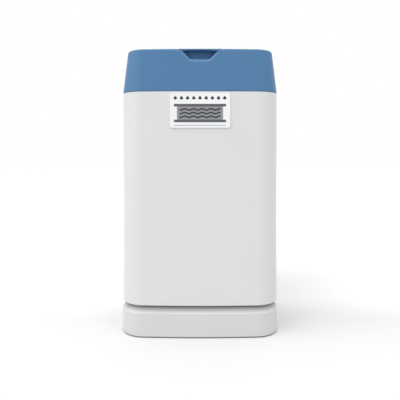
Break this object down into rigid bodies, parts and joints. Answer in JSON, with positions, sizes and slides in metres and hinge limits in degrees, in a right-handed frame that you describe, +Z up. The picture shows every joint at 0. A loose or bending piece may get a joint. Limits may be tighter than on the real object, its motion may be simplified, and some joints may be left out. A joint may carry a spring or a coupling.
{
  "type": "water conditioner",
  "caption": "Compact cabinet water conditioner with a tapered lift-off cover, hinged salt hatch, pressure tank, motorised piston valve, bypass and brine well.",
  "frame": {"origin": "on the floor under the middle of the whole outline, pipe threads included", "axes": "+Z up, +X to the right as seen from the front, +Y to the back"},
  "size_m": [0.32, 0.4764, 0.575],
  "materials": {
    "cabinet_white": "satin moulded polypropylene",
    "cover_blue": "satin moulded plastic",
    "badge_silver": "satin sheet",
    "bright_steel": "bright drawn",
    "tank_wound": "glass-fibre winding under resin",
    "boot_black": "matt",
    "resin_amber": "wet beads",
    "pipe_white": "matt PVC",
    "valve_black": "glass-filled, matt",
    "spacer_grey": "matt",
    "seal_rubber": "soft",
    "gear_acetal": "matt acetal",
    "motor_steel": "zinc plated",
    "board_green": "solder resist",
    "display_grey": "liquid crystal glass",
    "window_clear": "clear",
    "key_grey": "soft matt",
    "housing_dark": "fine grain",
    "handle_red": "satin",
    "brass_bright": "machined",
    "tube_white": "matt polyethylene",
    "float_white": "closed-cell foam",
    "grid_grey": "matt"
  },
  "bodies": {
    "cabinet": {"cabinet_base": "cabinet_white", "base_screws": "bright_steel", "cabinet_body": "cabinet_white", "badge_plate": "badge_silver", "salt_grid": "grid_grey", "tank_boot": "boot_black", "resin_tank": "tank_wound", "resin_bed": "resin_amber", "riser_tube": "pipe_white", "bottom_distributor": "spacer_grey", "top_distributor": "spacer_grey", "o_rings": "seal_rubber", "valve_body": "valve_black", "seal_spacers": "spacer_grey", "piston_seals": "seal_rubber", "end_cap": "valve_black", "drive_bracket": "valve_black", "drive_motor": "motor_steel", "control_board": "board_green", "display_module": "display_grey", "display_window": "window_clear", "valve_cover": "housing_dark", "power_inlet": "valve_black", "injector": "spacer_grey", "injector_cap": "valve_black", "brine_elbow": "valve_black", "drain_elbow": "valve_black", "meter_cage": "pipe_white", "bypass_body": "valve_black", "rotor_caps": "valve_black", "union_nuts": "valve_black", "pipe_adapters": "brass_bright", "brine_well": "pipe_white", "brine_valve": "valve_black", "pickup_tube": "pipe_white", "air_check": "spacer_grey", "brine_line": "tube_white", "overflow_elbow": "pipe_white", "overflow_gasket": "seal_rubber", "overflow_nut": "pipe_white"},
    "cover": {"top_cover": "cover_blue", "hatch_pins": "bright_steel"},
    "hatch": {"salt_hatch": "cover_blue"},
    "well_lid": {"well_cap": "pipe_white"},
    "float": {"brine_float": "float_white", "float_rod": "pipe_white"},
    "piston": {"valve_piston": "pipe_white", "piston_rod": "bright_steel"},
    "main_gear": {"main_gear": "gear_acetal"},
    "reduction_gear": {"reduction_gear": "gear_acetal"},
    "motor_pinion": {"motor_pinion": "bright_steel"},
    "inlet_rotor": {"inlet_rotor": "spacer_grey", "inlet_handle": "handle_red"},
    "outlet_rotor": {"outlet_rotor": "spacer_grey", "outlet_handle": "handle_red"},
    "turbine": {"meter_turbine": "pipe_white"},
    "key_set": {"key_set": "key_grey"},
    "key_down": {"key_down": "key_grey"},
    "key_up": {"key_up": "key_grey"},
    "key_clock": {"key_clock": "key_grey"}
  },
  "joints": [
    {"name": "cover_lift", "type": "slide", "parent": "cabinet", "child": "cover", "axis": [0, 0, 1], "range_m": [0, 0.12]},
    {"name": "hatch_hinge", "type": "hinge", "parent": "cover", "child": "hatch", "pos_m": [0, -0.05485, 0.571], "axis": [-1, 0, 0], "range_deg": [0, 95]},
    {"name": "well_cap_lift", "type": "slide", "parent": "cabinet", "child": "well_lid", "axis": [0, 0, 1], "range_m": [0, 0.05]},
    {"name": "float_slide", "type": "slide", "parent": "cabinet", "child": "float", "axis": [0, 0, 1], "range_m": [0, 0.01]},
    {"name": "main_gear_spin", "type": "hinge", "parent": "cabinet", "child": "main_gear", "pos_m": [0, -0.00385, 0.452], "axis": [0, -1, 0], "range_deg": [0, 1800]},
    {"name": "reduction_spin", "type": "hinge", "parent": "cabinet", "child": "reduction_gear", "pos_m": [0.02758, -0.00385, 0.47958], "axis": [0, -1, 0], "range_deg": [-6001, 0]},
    {"name": "pinion_spin", "type": "hinge", "parent": "cabinet", "child": "motor_pinion", "pos_m": [0.0053, -0.00385, 0.50185], "axis": [0, -1, 0], "range_deg": [0, 15001]},
    {"name": "piston_slide", "type": "slide", "parent": "cabinet", "child": "piston", "axis": [0, -1, 0], "range_m": [0, 0.02201]},
    {"name": "inlet_turn", "type": "hinge", "parent": "cabinet", "child": "inlet_rotor", "pos_m": [-0.036, 0.14815, 0.446], "axis": [0, 0, 1], "range_deg": [0, 90]},
    {"name": "outlet_turn", "type": "hinge", "parent": "cabinet", "child": "outlet_rotor", "pos_m": [0.036, 0.14815, 0.446], "axis": [0, 0, -1], "range_deg": [0, 90]},
    {"name": "turbine_spin", "type": "hinge", "parent": "cabinet", "child": "turbine", "pos_m": [0.036, 0.08415, 0.446], "axis": [0, 1, 0], "continuous": true},
    {"name": "key_set_press", "type": "slide", "parent": "cabinet", "child": "key_set", "axis": [0, 0.848, -0.53], "range_m": [0, 0.001], "stiffness_N_per_m": 400},
    {"name": "key_down_press", "type": "slide", "parent": "cabinet", "child": "key_down", "axis": [0, 0.848, -0.53], "range_m": [0, 0.001], "stiffness_N_per_m": 400},
    {"name": "key_up_press", "type": "slide", "parent": "cabinet", "child": "key_up", "axis": [0, 0.848, -0.53], "range_m": [0, 0.001], "stiffness_N_per_m": 400},
    {"name": "key_clock_press", "type": "slide", "parent": "cabinet", "child": "key_clock", "axis": [0, 0.848, -0.53], "range_m": [0, 0.001], "stiffness_N_per_m": 400}
  ],
  "couplings": [
    {"joint": "reduction_spin", "follows": "main_gear_spin", "ratio": -3.3333},
    {"joint": "pinion_spin", "follows": "main_gear_spin", "ratio": 8.3333},
    {"joint": "piston_slide", "follows": "main_gear_spin", "m_per_rad": 0.00070028}
  ]
}
